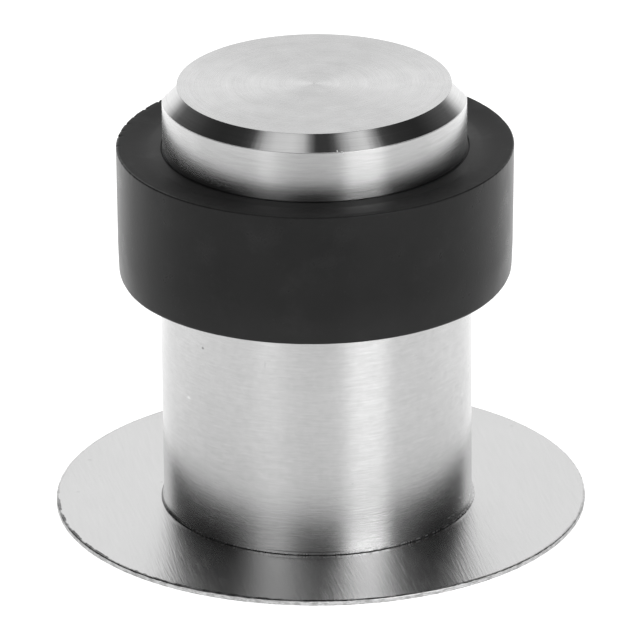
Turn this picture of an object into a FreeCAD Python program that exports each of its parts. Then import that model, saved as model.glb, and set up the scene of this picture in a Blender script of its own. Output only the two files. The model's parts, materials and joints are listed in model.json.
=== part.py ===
"""Floor door stop: brushed stainless post on a thin round floor plate, black
rubber buffer ring, and a turned stainless cap that unscrews.

Millimetres.  +Z is up.  The origin is the centre of the floor plate's underside,
so the stop stands on the plane z = 0 and every piece is coaxial with Z.

The stack, from the floor up
    floor_plate         thin sheet-metal rosette with a central bolt hole
    post_tube           brushed tube with a slightly flared foot
    base_plug           thick disc in the tube's foot, tapped right through
    head_plug           disc that closes the tube's top
    buffer_core         spool in the rubber ring's bore, with a counterbored cup
    core_washer, core_spring_washer, core_nut   clamp the core in that cup
    tie_stud            M8 stud from the base plug up into the cap
    buffer_ring         rubber ring, turns on the core
    cap_o_ring          O-ring in the groove of the cap's spigot
    cap                 turned cap, tapped blind from below

Threads are drawn as plain cylinders at the thread's nominal diameter where they
are engaged, and at the tapping-drill diameter where the hole is empty.
"""
import FreeCAD, Part
import math
import os
import Sketcher

V = FreeCAD.Vector
doc = FreeCAD.newDocument("DoorStop")

# --------------------------------------------------------------------------
# Driving dimensions
# --------------------------------------------------------------------------
sheet = doc.addObject("Spreadsheet::Sheet", "Dims")
DIMS = [
    # floor plate
    ("plate_dia", 80.0, "floor plate diameter"),
    ("plate_thick", 0.8, "floor plate sheet thickness"),
    ("plate_hole_dia", 8.8, "clearance hole for the M8 floor bolt"),
    ("plate_edge_break", 0.12, "edge break of the sheared rim"),
    # post tube
    ("post_dia", 46.5, "outside diameter of the post"),
    ("post_wall", 2.0, "tube wall"),
    ("post_len", 36.6, "tube length above the plate"),
    ("foot_flare", 0.4, "radial flare of the tube's foot"),
    ("foot_flare_height", 2.6, "height over which the foot flares"),
    ("post_top_break", 0.3, "edge break of the tube's top"),
    ("plug_gap", 0.04, "radial bonding gap of both plugs"),
    # base plug
    ("base_thick", 16.0, "thickness of the base plug"),
    ("base_chamfer", 0.8, "edge break of the base plug"),
    ("tap_drill_dia", 6.8, "tapping drill for M8"),
    ("stud_dia", 8.0, "M8 nominal diameter"),
    ("stud_seat", 8.2, "height of the empty thread below the tie stud"),
    ("tap_csk", 0.9, "countersink at the mouth of a tapped hole"),
    # head plug
    ("head_thick", 4.0, "thickness of the head plug"),
    ("stud_clear_dia", 8.6, "clearance hole for the tie stud"),
    # buffer core
    ("core_dia", 30.0, "outside diameter of the core"),
    ("core_height", 20.0, "core height: carries the cap just clear of the ring"),
    ("core_web", 6.0, "thickness of the core's web under the nut"),
    ("core_cup_dia", 21.6, "bore of the core's cup"),
    ("core_break", 0.5, "edge break of the core"),
    # clamp hardware
    ("washer_out_dia", 16.0, "M8 flat washer outside diameter"),
    ("washer_in_dia", 8.4, "M8 flat washer bore"),
    ("washer_thick", 1.6, "M8 flat washer thickness"),
    ("spring_out_dia", 14.8, "M8 spring washer outside diameter"),
    ("spring_in_dia", 8.3, "M8 spring washer bore"),
    ("spring_thick", 2.0, "M8 spring washer thickness"),
    ("spring_slit", 0.8, "slit of the spring washer"),
    ("nut_flats", 13.0, "M8 nut width across flats"),
    ("nut_thick", 6.5, "M8 nut thickness"),
    # tie stud
    ("stud_len", 55.0, "tie stud length"),
    ("stud_chamfer", 0.9, "lead-in chamfer at both stud ends"),
    # rubber ring
    ("ring_dia", 59.4, "outside diameter of the rubber ring"),
    ("ring_height", 20.33, "height of the rubber ring at its rim"),
    ("ring_lift", 0.1, "clearance between the post's top and the ring"),
    ("ring_run_gap", 0.08, "radial running clearance on the core"),
    ("ring_top_round", 0.25, "moulded edge at the ring's top"),
    ("ring_low_round", 0.5, "moulded edge at the ring's bottom"),
    ("ring_draft", 0.2, "draft: the ring is this much smaller in radius below"),
    ("ring_dish", 0.5, "the top face lies this much lower under the cap than at the rim"),
    ("ring_dish_margin", 0.5, "the low part of the top reaches this far outside the cap"),
    ("ring_rim_land", 0.9, "width of the level land along the ring's rim"),
    # cap
    ("cap_dia", 45.5, "cap diameter"),
    ("cap_height", 10.0, "height of the visible cap"),
    ("cap_chamfer", 2.25, "polished 45 degree chamfer"),
    ("cap_low_break", 0.15, "edge break of the cap's lower rim"),
    ("spigot_dia", 20.8, "spigot under the cap"),
    ("spigot_len", 3.4, "spigot length"),
    ("groove_floor_dia", 17.8, "floor of the O-ring groove"),
    ("groove_width", 2.2, "width of the O-ring groove"),
    ("groove_offset", 0.6, "land below the O-ring groove"),
    ("thread_run_gap", 0.05, "radial running clearance of the cap's thread"),
    ("cap_thread_depth", 10.4, "depth of the cap's tapped hole from the spigot's end"),
    # O-ring
    ("oring_section", 1.8, "O-ring section"),
    ("oring_run_gap", 0.05, "clearance between O-ring and groove floor"),
]
for row, (alias, value, note) in enumerate(DIMS, start=1):
    sheet.set("A%d" % row, note)
    sheet.set("B%d" % row, repr(value))
    sheet.setAlias("B%d" % row, alias)
doc.recompute()


def dim(alias):
    return float(sheet.get(alias))


# --------------------------------------------------------------------------
# Helpers
# --------------------------------------------------------------------------
def origin_plane(body, role):
    for feature in body.Origin.OriginFeatures:
        if feature.Role == role:
            return feature
    raise RuntimeError("no plane " + role)


def new_body(name, height):
    """A body whose own origin stands at the given height on the Z axis."""
    body = doc.addObject("PartDesign::Body", name)
    body.Label = name
    if height:
        body.setExpression("Placement.Base.z", height)
    return body


def new_sketch(body, name, role):
    sketch = body.newObject("Sketcher::SketchObject", name)
    sketch.AttachmentSupport = [(origin_plane(body, role), "")]
    sketch.MapMode = "FlatFace"
    return sketch


def value_of(expression):
    """The number that an expression over the sheet has now."""
    names = {alias: value for alias, value, _ in DIMS}
    total = 0.0
    for sign, factors in expression:
        product = sign
        for factor in factors:
            product *= names[factor] if isinstance(factor, str) else factor
        total += product
    return total


def text_of(expression):
    """The same expression in the sheet's own language."""
    out = ""
    for sign, factors in expression:
        out += " - " if sign < 0 else (" + " if out else "")
        out += " * ".join("Dims." + f if isinstance(f, str) else repr(f)
                          for f in factors)
    return out.strip()


def plus(*factors):
    return (1, factors)


def minus(*factors):
    return (-1, factors)


ZERO = []


def polygon(sketch, points):
    """A closed outline whose corners are bound to the sheet, one by one.

    Each corner is (x, y), each coordinate a list of signed products."""
    xy = [V(value_of(px), value_of(py), 0) for px, py in points]
    count = len(xy)
    for i in range(count):
        sketch.addGeometry(Part.LineSegment(xy[i], xy[(i + 1) % count]), False)
    for i in range(count):
        sketch.addConstraint(Sketcher.Constraint("Coincident", i, 2, (i + 1) % count, 1))
    for i, (px, py) in enumerate(points):
        if px:
            k = sketch.addConstraint(
                Sketcher.Constraint("DistanceX", -1, 1, i, 1, xy[i].x))
            sketch.setExpression("Constraints[%d]" % k, text_of(px))
        else:
            sketch.addConstraint(Sketcher.Constraint("PointOnObject", i, 1, -2))
        if py:
            k = sketch.addConstraint(
                Sketcher.Constraint("DistanceY", -1, 1, i, 1, xy[i].y))
            sketch.setExpression("Constraints[%d]" % k, text_of(py))
        else:
            sketch.addConstraint(Sketcher.Constraint("PointOnObject", i, 1, -1))
    return sketch


def revolve(body, sketch, name):
    feature = body.newObject("PartDesign::Revolution", name)
    feature.Profile = sketch
    feature.ReferenceAxis = (sketch, ["V_Axis"])
    feature.Angle = 360.0
    sketch.Visibility = False
    return feature


def groove(body, sketch, name):
    feature = body.newObject("PartDesign::Groove", name)
    feature.Profile = sketch
    feature.ReferenceAxis = (sketch, ["V_Axis"])
    feature.Angle = 360.0
    sketch.Visibility = False
    return feature


def circle_edges(feature, radius, height, tol=1e-4):
    """Names of the feature's circular edges about Z at one radius and height."""
    names = []
    for i, edge in enumerate(feature.Shape.Edges, start=1):
        curve = edge.Curve
        if not isinstance(curve, Part.Circle):
            continue
        if abs(curve.Radius - radius) > tol or abs(curve.Center.z - height) > tol:
            continue
        names.append("Edge%d" % i)
    if not names:
        raise RuntimeError("no edge of radius %g at %g on %s"
                           % (radius, height, feature.Name))
    return names


def dress(body, kind, name, base, edges, size):
    """A Chamfer or a Fillet on the named edges, its size bound to the sheet."""
    before = base.Shape.Volume
    feature = body.newObject("PartDesign::" + kind, name)
    feature.Base = (base, edges)
    feature.setExpression("Size" if kind == "Chamfer" else "Radius", size)
    doc.recompute()
    if not feature.Shape.Volume < before:
        raise RuntimeError(name + " removed nothing")
    return feature


def must_cut(feature, before, least):
    doc.recompute()
    removed = before - feature.Shape.Volume
    if removed < least:
        raise RuntimeError("%s cut only %.3f mm3" % (feature.Name, removed))


def half(alias):
    return plus(alias, 0.5)


# --------------------------------------------------------------------------
# floor_plate: thin blanked disc
# --------------------------------------------------------------------------
floor_plate = new_body("floor_plate", None)
sk = new_sketch(floor_plate, "plate_outline", "XY_Plane")
sk.addGeometry(Part.Circle(V(0, 0, 0), V(0, 0, 1), dim("plate_dia") / 2), False)
sk.addGeometry(Part.Circle(V(0, 0, 0), V(0, 0, 1), dim("plate_hole_dia") / 2), False)
for geo, alias in ((0, "plate_dia"), (1, "plate_hole_dia")):
    sk.addConstraint(Sketcher.Constraint("Coincident", geo, 3, -1, 1))
    k = sk.addConstraint(Sketcher.Constraint("Diameter", geo, dim(alias)))
    sk.setExpression("Constraints[%d]" % k, "Dims." + alias)
pad = floor_plate.newObject("PartDesign::Pad", "plate_blank")
pad.Profile = sk
pad.setExpression("Length", "Dims.plate_thick")
sk.Visibility = False
doc.recompute()
dress(floor_plate, "Chamfer", "plate_rim_break", pad,
      circle_edges(pad, dim("plate_dia") / 2, dim("plate_thick"))
      + circle_edges(pad, dim("plate_dia") / 2, 0.0),
      "Dims.plate_edge_break")

# --------------------------------------------------------------------------
# post_tube: brushed tube, its foot dressed slightly outwards onto the plate
# --------------------------------------------------------------------------
post_tube = new_body("post_tube", "Dims.plate_thick")
sk = new_sketch(post_tube, "tube_section", "XZ_Plane")
R_OUT = [half("post_dia")]
R_IN = [half("post_dia"), minus("post_wall")]
polygon(sk, [
    (R_IN, ZERO),
    ([half("post_dia"), plus("foot_flare")], ZERO),
    ([half("post_dia"), plus("foot_flare", 0.86)], [plus("foot_flare_height", 0.16)]),
    ([half("post_dia"), plus("foot_flare", 0.48)], [plus("foot_flare_height", 0.38)]),
    ([half("post_dia"), plus("foot_flare", 0.16)], [plus("foot_flare_height", 0.66)]),
    (R_OUT, [plus("foot_flare_height")]),
    (R_OUT, [plus("post_len")]),
    (R_IN, [plus("post_len")]),
])
rev = revolve(post_tube, sk, "tube")
doc.recompute()
dress(post_tube, "Chamfer", "tube_top_break", rev,
      circle_edges(rev, dim("post_dia") / 2, dim("post_len")),
      "Dims.post_top_break")

# --------------------------------------------------------------------------
# base_plug: turned disc, drilled and tapped right through
# --------------------------------------------------------------------------
base_plug = new_body("base_plug", "Dims.plate_thick")
PLUG_R = [half("post_dia"), minus("post_wall"), minus("plug_gap")]
sk = new_sketch(base_plug, "base_section", "XZ_Plane")
polygon(sk, [
    ([half("tap_drill_dia")], ZERO),
    (PLUG_R, ZERO),
    (PLUG_R, [plus("base_thick")]),
    ([half("stud_dia")], [plus("base_thick")]),
    ([half("stud_dia")], [plus("stud_seat")]),
    ([half("tap_drill_dia")], [plus("stud_seat")]),
])
rev = revolve(base_plug, sk, "base_disc")
doc.recompute()
plug_r = value_of(PLUG_R)
dress(base_plug, "Chamfer", "base_rim_break", rev,
      circle_edges(rev, plug_r, 0.0) + circle_edges(rev, plug_r, dim("base_thick")),
      "Dims.base_chamfer")

# --------------------------------------------------------------------------
# head_plug: closes the tube, flush with its top
# --------------------------------------------------------------------------
head_plug = new_body("head_plug", "Dims.plate_thick + Dims.post_len - Dims.head_thick")
sk = new_sketch(head_plug, "head_outline", "XY_Plane")
sk.addGeometry(Part.Circle(V(0, 0, 0), V(0, 0, 1), plug_r), False)
sk.addConstraint(Sketcher.Constraint("Coincident", 0, 3, -1, 1))
k = sk.addConstraint(Sketcher.Constraint("Radius", 0, plug_r))
sk.setExpression("Constraints[%d]" % k,
                 "Dims.post_dia / 2 - Dims.post_wall - Dims.plug_gap")
pad = head_plug.newObject("PartDesign::Pad", "head_disc")
pad.Profile = sk
pad.setExpression("Length", "Dims.head_thick")
sk.Visibility = False
doc.recompute()
before = pad.Shape.Volume
sk = new_sketch(head_plug, "head_hole", "XY_Plane")
sk.addGeometry(Part.Circle(V(0, 0, 0), V(0, 0, 1), dim("stud_clear_dia") / 2), False)
sk.addConstraint(Sketcher.Constraint("Coincident", 0, 3, -1, 1))
k = sk.addConstraint(Sketcher.Constraint("Diameter", 0, dim("stud_clear_dia")))
sk.setExpression("Constraints[%d]" % k, "Dims.stud_clear_dia")
cut = head_plug.newObject("PartDesign::Pocket", "head_stud_hole")
cut.Profile = sk
cut.Type = "ThroughAll"
cut.Reversed = True
sk.Visibility = False
must_cut(cut, before, 0.9 * math.pi * (dim("stud_clear_dia") / 2) ** 2 * dim("head_thick"))
dress(head_plug, "Chamfer", "head_rim_break", cut,
      circle_edges(cut, plug_r, 0.0), "Dims.base_chamfer")

# --------------------------------------------------------------------------
# buffer_core: spool with a cup for the washers, the nut and the cap's spigot
# --------------------------------------------------------------------------
buffer_core = new_body("buffer_core", "Dims.plate_thick + Dims.post_len")
sk = new_sketch(buffer_core, "core_section", "XZ_Plane")
polygon(sk, [
    ([half("stud_clear_dia")], ZERO),
    ([half("core_dia")], ZERO),
    ([half("core_dia")], [plus("core_height")]),
    ([half("stud_clear_dia")], [plus("core_height")]),
])
rev = revolve(buffer_core, sk, "core_blank")
doc.recompute()
before = rev.Shape.Volume
sk = new_sketch(buffer_core, "core_cup_section", "XZ_Plane")
polygon(sk, [
    (ZERO, [plus("core_web")]),
    ([half("core_cup_dia")], [plus("core_web")]),
    ([half("core_cup_dia")], [plus("core_height")]),
    (ZERO, [plus("core_height")]),
])
cup = groove(buffer_core, sk, "core_cup")
must_cut(cup, before, 3000.0)
dress(buffer_core, "Chamfer", "core_edge_breaks", cup,
      circle_edges(cup, dim("core_cup_dia") / 2, dim("core_height"))
      + circle_edges(cup, dim("core_dia") / 2, 0.0)
      + circle_edges(cup, dim("core_dia") / 2, dim("core_height")),
      "Dims.core_break")

# --------------------------------------------------------------------------
# clamp hardware in the core's cup
# --------------------------------------------------------------------------
WEB_TOP = "Dims.plate_thick + Dims.post_len + Dims.core_web"

core_washer = new_body("core_washer", WEB_TOP)
sk = new_sketch(core_washer, "washer_outline", "XY_Plane")
sk.addGeometry(Part.Circle(V(0, 0, 0), V(0, 0, 1), dim("washer_out_dia") / 2), False)
sk.addGeometry(Part.Circle(V(0, 0, 0), V(0, 0, 1), dim("washer_in_dia") / 2), False)
for geo, alias in ((0, "washer_out_dia"), (1, "washer_in_dia")):
    sk.addConstraint(Sketcher.Constraint("Coincident", geo, 3, -1, 1))
    k = sk.addConstraint(Sketcher.Constraint("Diameter", geo, dim(alias)))
    sk.setExpression("Constraints[%d]" % k, "Dims." + alias)
pad = core_washer.newObject("PartDesign::Pad", "washer_disc")
pad.Profile = sk
pad.setExpression("Length", "Dims.washer_thick")
sk.Visibility = False
doc.recompute()
dress(core_washer, "Fillet", "washer_edge", pad,
      circle_edges(pad, dim("washer_out_dia") / 2, dim("washer_thick")), "0.3")

core_spring_washer = new_body("core_spring_washer", WEB_TOP + " + Dims.washer_thick")
sk = new_sketch(core_spring_washer, "spring_section", "XZ_Plane")
polygon(sk, [
    ([half("spring_in_dia")], ZERO),
    ([half("spring_out_dia")], ZERO),
    ([half("spring_out_dia")], [plus("spring_thick")]),
    ([half("spring_in_dia")], [plus("spring_thick")]),
])
rev = revolve(core_spring_washer, sk, "spring_ring")
doc.recompute()
before = rev.Shape.Volume
# the slanting slit, cut outwards along +X only
sk = new_sketch(core_spring_washer, "spring_slit_outline", "YZ_Plane")
polygon(sk, [
    ([minus("spring_slit", 1.5)], [minus("spring_thick", 0.25)]),
    ([minus("spring_slit", 0.5)], [minus("spring_thick", 0.25)]),
    ([plus("spring_slit", 1.5)], [plus("spring_thick", 1.25)]),
    ([plus("spring_slit", 0.5)], [plus("spring_thick", 1.25)]),
])
slit = core_spring_washer.newObject("PartDesign::Pocket", "spring_slit_cut")
slit.Profile = sk
slit.Type = "Length"
slit.Reversed = True
slit.setExpression("Length", "Dims.spring_out_dia")
sk.Visibility = False
must_cut(slit, before, 3.0)

core_nut = new_body("core_nut", WEB_TOP + " + Dims.washer_thick + Dims.spring_thick")
sk = new_sketch(core_nut, "nut_outline", "XY_Plane")
ACROSS = 1.0 / math.sqrt(3.0)        # half the corner distance over the flats
polygon(sk, [
    ([plus("nut_flats", ACROSS)], ZERO),
    ([plus("nut_flats", ACROSS * 0.5)], [half("nut_flats")]),
    ([minus("nut_flats", ACROSS * 0.5)], [half("nut_flats")]),
    ([minus("nut_flats", ACROSS)], ZERO),
    ([minus("nut_flats", ACROSS * 0.5)], [minus("nut_flats", 0.5)]),
    ([plus("nut_flats", ACROSS * 0.5)], [minus("nut_flats", 0.5)]),
])
pad = core_nut.newObject("PartDesign::Pad", "nut_prism")
pad.Profile = sk
pad.setExpression("Length", "Dims.nut_thick")
sk.Visibility = False
doc.recompute()
before = pad.Shape.Volume
# bore at the thread's nominal diameter, filled by the stud
sk = new_sketch(core_nut, "nut_bore_section", "XZ_Plane")
polygon(sk, [
    (ZERO, ZERO),
    ([half("stud_dia")], ZERO),
    ([half("stud_dia")], [plus("nut_thick")]),
    (ZERO, [plus("nut_thick")]),
])
bore = groove(core_nut, sk, "nut_bore")
must_cut(bore, before, 300.0)
before = bore.Shape.Volume
# 30 degree corner chamfers, top and bottom
DROP = (2 * ACROSS - 1.0) * 0.5 * math.tan(math.radians(30.0))
for tag, low in (("top", False), ("bottom", True)):
    sk = new_sketch(core_nut, "nut_corner_" + tag, "XZ_Plane")
    reach = ACROSS * 1.0
    if low:
        points = [
            ([plus("nut_flats", 0.49)], ZERO),
            ([plus("nut_flats", reach + 0.02)], ZERO),
            ([plus("nut_flats", reach + 0.02)], [plus("nut_flats", DROP * 1.35)]),
        ]
    else:
        points = [
            ([plus("nut_flats", 0.49)], [plus("nut_thick")]),
            ([plus("nut_flats", reach + 0.02)], [plus("nut_thick")]),
            ([plus("nut_flats", reach + 0.02)],
             [plus("nut_thick"), minus("nut_flats", DROP * 1.35)]),
        ]
    polygon(sk, points)
    corner = groove(core_nut, sk, "nut_corner_cut_" + tag)
    must_cut(corner, before, 0.5)
    before = corner.Shape.Volume

# --------------------------------------------------------------------------
# tie_stud
# --------------------------------------------------------------------------
tie_stud = new_body("tie_stud", "Dims.plate_thick + Dims.stud_seat")
sk = new_sketch(tie_stud, "stud_section", "XZ_Plane")
polygon(sk, [
    (ZERO, ZERO),
    ([half("stud_dia")], ZERO),
    ([half("stud_dia")], [plus("stud_len")]),
    (ZERO, [plus("stud_len")]),
])
rev = revolve(tie_stud, sk, "stud")
doc.recompute()
dress(tie_stud, "Chamfer", "stud_leads", rev,
      circle_edges(rev, dim("stud_dia") / 2, 0.0)
      + circle_edges(rev, dim("stud_dia") / 2, dim("stud_len")),
      "Dims.stud_chamfer")

# --------------------------------------------------------------------------
# buffer_ring: moulded rubber, a little draft, soft lower edge, top dished to the cap
# --------------------------------------------------------------------------
buffer_ring = new_body("buffer_ring", "Dims.plate_thick + Dims.post_len + Dims.ring_lift")
sk = new_sketch(buffer_ring, "ring_section", "XZ_Plane")
RING_IN = [half("core_dia"), plus("ring_run_gap")]
RING_LOW = [half("ring_dia"), minus("ring_draft")]
polygon(sk, [
    (RING_IN, ZERO),
    (RING_LOW, ZERO),
    ([half("ring_dia")], [plus("ring_height")]),
    ([half("ring_dia"), minus("ring_rim_land")], [plus("ring_height")]),
    ([half("cap_dia"), plus("ring_dish_margin")], [plus("ring_height"), minus("ring_dish")]),
    (RING_IN, [plus("ring_height"), minus("ring_dish")]),
])
rev = revolve(buffer_ring, sk, "ring")
doc.recompute()
low_edge = dress(buffer_ring, "Fillet", "ring_low_edge", rev,
                 circle_edges(rev, value_of(RING_LOW), 0.0), "Dims.ring_low_round")
dress(buffer_ring, "Fillet", "ring_top_edge", low_edge,
      circle_edges(low_edge, dim("ring_dia") / 2, dim("ring_height")),
      "Dims.ring_top_round")

# --------------------------------------------------------------------------
# cap: turned, with spigot, O-ring groove and blind tapped hole
# --------------------------------------------------------------------------
CAP_SEAT = "Dims.plate_thick + Dims.post_len + Dims.core_height"
cap = new_body("cap", CAP_SEAT)
sk = new_sketch(cap, "cap_section", "XZ_Plane")
polygon(sk, [
    (ZERO, [minus("spigot_len")]),
    ([half("spigot_dia")], [minus("spigot_len")]),
    ([half("spigot_dia")], ZERO),
    ([half("cap_dia")], ZERO),
    ([half("cap_dia")], [plus("cap_height")]),
    (ZERO, [plus("cap_height")]),
])
rev = revolve(cap, sk, "cap_blank")
doc.recompute()
before = rev.Shape.Volume
sk = new_sketch(cap, "oring_groove_section", "XZ_Plane")
G_LOW = [minus("spigot_len"), plus("groove_offset")]
G_TOP = [minus("spigot_len"), plus("groove_offset"), plus("groove_width")]
polygon(sk, [
    ([half("groove_floor_dia")], G_LOW),
    ([half("spigot_dia"), plus("groove_offset")], G_LOW),
    ([half("spigot_dia"), plus("groove_offset")], G_TOP),
    ([half("groove_floor_dia")], G_TOP),
])
ring_groove = groove(cap, sk, "oring_groove")
must_cut(ring_groove, before, 100.0)
before = ring_groove.Shape.Volume
sk = new_sketch(cap, "cap_thread_section", "XZ_Plane")
T_R = [half("stud_dia"), plus("thread_run_gap")]
polygon(sk, [
    (ZERO, [minus("spigot_len")]),
    (T_R, [minus("spigot_len")]),
    (T_R, [minus("spigot_len"), plus("cap_thread_depth")]),
    (ZERO, [minus("spigot_len"), plus("cap_thread_depth"), plus("stud_dia", 0.15)]),
])
thread = groove(cap, sk, "cap_thread")
must_cut(thread, before, 450.0)
rim = dress(cap, "Chamfer", "cap_polished_chamfer", thread,
            circle_edges(thread, dim("cap_dia") / 2, dim("cap_height")),
            "Dims.cap_chamfer")
low = dress(cap, "Chamfer", "cap_low_edge", rim,
            circle_edges(rim, dim("cap_dia") / 2, 0.0), "Dims.cap_low_break")
dress(cap, "Chamfer", "cap_thread_mouth", low,
      circle_edges(low, value_of(T_R), -dim("spigot_len")), "Dims.tap_csk")

# --------------------------------------------------------------------------
# cap_o_ring: lies in the groove of the cap's spigot
# --------------------------------------------------------------------------
cap_o_ring = doc.addObject("Part::Torus", "cap_o_ring")
cap_o_ring.Label = "cap_o_ring"
cap_o_ring.setExpression(
    "Radius1", "Dims.groove_floor_dia / 2 + Dims.oring_run_gap + Dims.oring_section / 2")
cap_o_ring.setExpression("Radius2", "Dims.oring_section / 2")
cap_o_ring.setExpression(
    "Placement.Base.z",
    CAP_SEAT + " - Dims.spigot_len + Dims.groove_offset + Dims.groove_width / 2")

# --------------------------------------------------------------------------
# Checks, then one STEP file for each piece
# --------------------------------------------------------------------------
doc.recompute()
PIECES = [floor_plate, post_tube, base_plug, head_plug, buffer_core, core_washer,
          core_spring_washer, core_nut, tie_stud, buffer_ring, cap_o_ring, cap]
for obj in doc.Objects:
    if "Invalid" in obj.State or "Error" in obj.State:
        raise RuntimeError("%s failed: %s" % (obj.Name, obj.State))
for sketch in doc.Objects:
    if sketch.TypeId == "Sketcher::SketchObject" and sketch.solve() != 0:
        raise RuntimeError("sketch %s does not solve" % sketch.Name)
for piece in PIECES:
    shape = piece.Shape
    if shape.isNull() or not shape.isValid():
        raise RuntimeError(piece.Label + " has no valid shape")
    if len(shape.Solids) != 1:
        raise RuntimeError("%s has %d solids" % (piece.Label, len(shape.Solids)))

os.makedirs("parts", exist_ok=True)
for piece in PIECES:
    piece.Shape.exportStep("parts/%s.step" % piece.Label)
    box = piece.Shape.BoundBox
    print("%-20s z %7.3f .. %7.3f   dia %7.3f   %9.2f mm3"
          % (piece.Label, box.ZMin, box.ZMax, box.XLength, piece.Shape.Volume))
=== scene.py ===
import json
import math

import bmesh
import bpy
from mathutils import Matrix, Vector, noise


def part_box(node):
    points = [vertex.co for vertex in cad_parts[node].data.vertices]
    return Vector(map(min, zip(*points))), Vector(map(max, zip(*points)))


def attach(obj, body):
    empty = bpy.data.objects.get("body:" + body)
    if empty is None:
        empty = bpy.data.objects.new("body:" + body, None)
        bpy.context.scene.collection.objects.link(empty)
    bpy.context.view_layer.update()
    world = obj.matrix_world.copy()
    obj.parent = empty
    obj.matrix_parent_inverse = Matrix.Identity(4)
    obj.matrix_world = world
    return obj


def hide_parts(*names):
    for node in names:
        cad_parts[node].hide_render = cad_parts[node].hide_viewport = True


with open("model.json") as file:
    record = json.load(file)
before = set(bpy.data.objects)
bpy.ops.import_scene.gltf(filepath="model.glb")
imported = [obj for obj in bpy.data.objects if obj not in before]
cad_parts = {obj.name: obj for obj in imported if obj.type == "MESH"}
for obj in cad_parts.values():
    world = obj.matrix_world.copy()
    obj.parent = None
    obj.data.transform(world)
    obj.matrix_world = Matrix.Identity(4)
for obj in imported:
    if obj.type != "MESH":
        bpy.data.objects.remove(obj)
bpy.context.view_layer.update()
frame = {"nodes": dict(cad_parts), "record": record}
record = frame["record"]
MM = 0.001
TAU = 2 * math.pi


# ---------------------------------------------------------------------------
# Sizes, read from the frame where a box gives them
# ---------------------------------------------------------------------------
def node_box(name):
    low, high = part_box(name)
    return [v / MM for v in low], [v / MM for v in high]


(_, _, PLATE_Z0), (PLATE_R, _, PLATE_Z1) = node_box("floor_plate")
(_, _, TUBE_Z0), (TUBE_FOOT_R, _, TUBE_Z1) = node_box("post_tube")
(_, _, RING_Z0), (RING_R, _, RING_Z1) = node_box("buffer_ring")
(_, _, CORE_Z0), (CORE_R, _, CORE_Z1) = node_box("buffer_core")
(_, _, CAP_Z0), (CAP_R, _, CAP_Z1) = node_box("cap")
(_, _, STUD_Z0), (STUD_R, _, STUD_Z1) = node_box("tie_stud")
(_, _, SEAL_Z0), (SEAL_R, _, SEAL_Z1) = node_box("cap_o_ring")

# sizes of the same pieces that a box can't give
TUBE_R = 23.25
TUBE_WALL = 2.0
FLARE_H = 1.3
PLATE_HOLE_R = 4.4
RING_IN_R = 15.08
RING_LOW_R = RING_R - 0.2
RING_LAND = 0.9
RING_DISH = 0.5
CAP_SEAT = CORE_Z1
CAP_CHAMFER = 2.25
SPIGOT_R = 10.4
GROOVE_R = 8.9
GROOVE_Z = (CAP_Z0 + 0.6, CAP_Z0 + 2.8)
CAP_BORE_R = 4.05
CAP_BORE_TOP = CAP_Z0 + 10.4
PITCH = 1.25

# how far the outer skin of a piece stands off the stack's axis: the clearance of
# its bolt hole, and the slack of the thread and the moulding
PLATE_LEAN = (0.30, 0.42)
TUBE_LEAN = (-0.11, 0.0)
RING_LEAN = (-0.12, 0.0)
CAP_LEAN = (-0.10, 0.0)


# ---------------------------------------------------------------------------
# Mesh tools
# ---------------------------------------------------------------------------
def rounded(corners, closed=False):
    """Turns corners (r, z, radius, segments) into a profile with real arcs.

    Beside each arc stands one support point, so that smooth shading stays inside
    the arc and doesn't run over the flats."""
    out = []
    count = len(corners)
    for i, corner in enumerate(corners):
        r, z = corner[0], corner[1]
        radius = corner[2] if len(corner) > 2 else 0.0
        seg = corner[3] if len(corner) > 3 else 4
        here = Vector((r, z))
        ends = not closed and i in (0, count - 1)
        if radius <= 0 or ends:
            out.append((r, z))
            continue
        before = Vector(corners[(i - 1) % count][:2]) - here
        after = Vector(corners[(i + 1) % count][:2]) - here
        u, v = before.normalized(), after.normalized()
        turn = math.acos(max(-1.0, min(1.0, u.dot(v))))
        if abs(math.pi - turn) < 1e-3:
            out.append((r, z))
            continue
        run = min(radius / math.tan(turn / 2), 0.45 * before.length, 0.45 * after.length)
        true_radius = run * math.tan(turn / 2)
        centre = here + (u + v).normalized() * (true_radius / math.sin(turn / 2))
        a, b = here + u * run, here + v * run
        edge_in = here + u * min(run * 1.35, 0.49 * before.length)
        edge_out = here + v * min(run * 1.35, 0.49 * after.length)
        out.append(tuple(edge_in))
        a0 = math.atan2(a.y - centre.y, a.x - centre.x)
        a1 = math.atan2(b.y - centre.y, b.x - centre.x)
        sweep = (a1 - a0 + math.pi) % TAU - math.pi
        for k in range(seg + 1):
            t = a0 + sweep * k / seg
            out.append((centre.x + true_radius * math.cos(t),
                        centre.y + true_radius * math.sin(t)))
        out.append(tuple(edge_out))
    return out


def divided(profile, longest, closed=False):
    """The same profile with its long spans cut into shorter ones."""
    out = []
    count = len(profile)
    for i in range(count if closed else count - 1):
        (r0, z0), (r1, z1) = profile[i], profile[(i + 1) % count]
        span = math.hypot(r1 - r0, z1 - z0)
        cuts = max(1, math.ceil(span / longest))
        for k in range(cuts):
            t = k / cuts
            out.append((r0 + (r1 - r0) * t, z0 + (z1 - z0) * t))
    if not closed:
        out.append(profile[-1])
    return out


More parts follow.
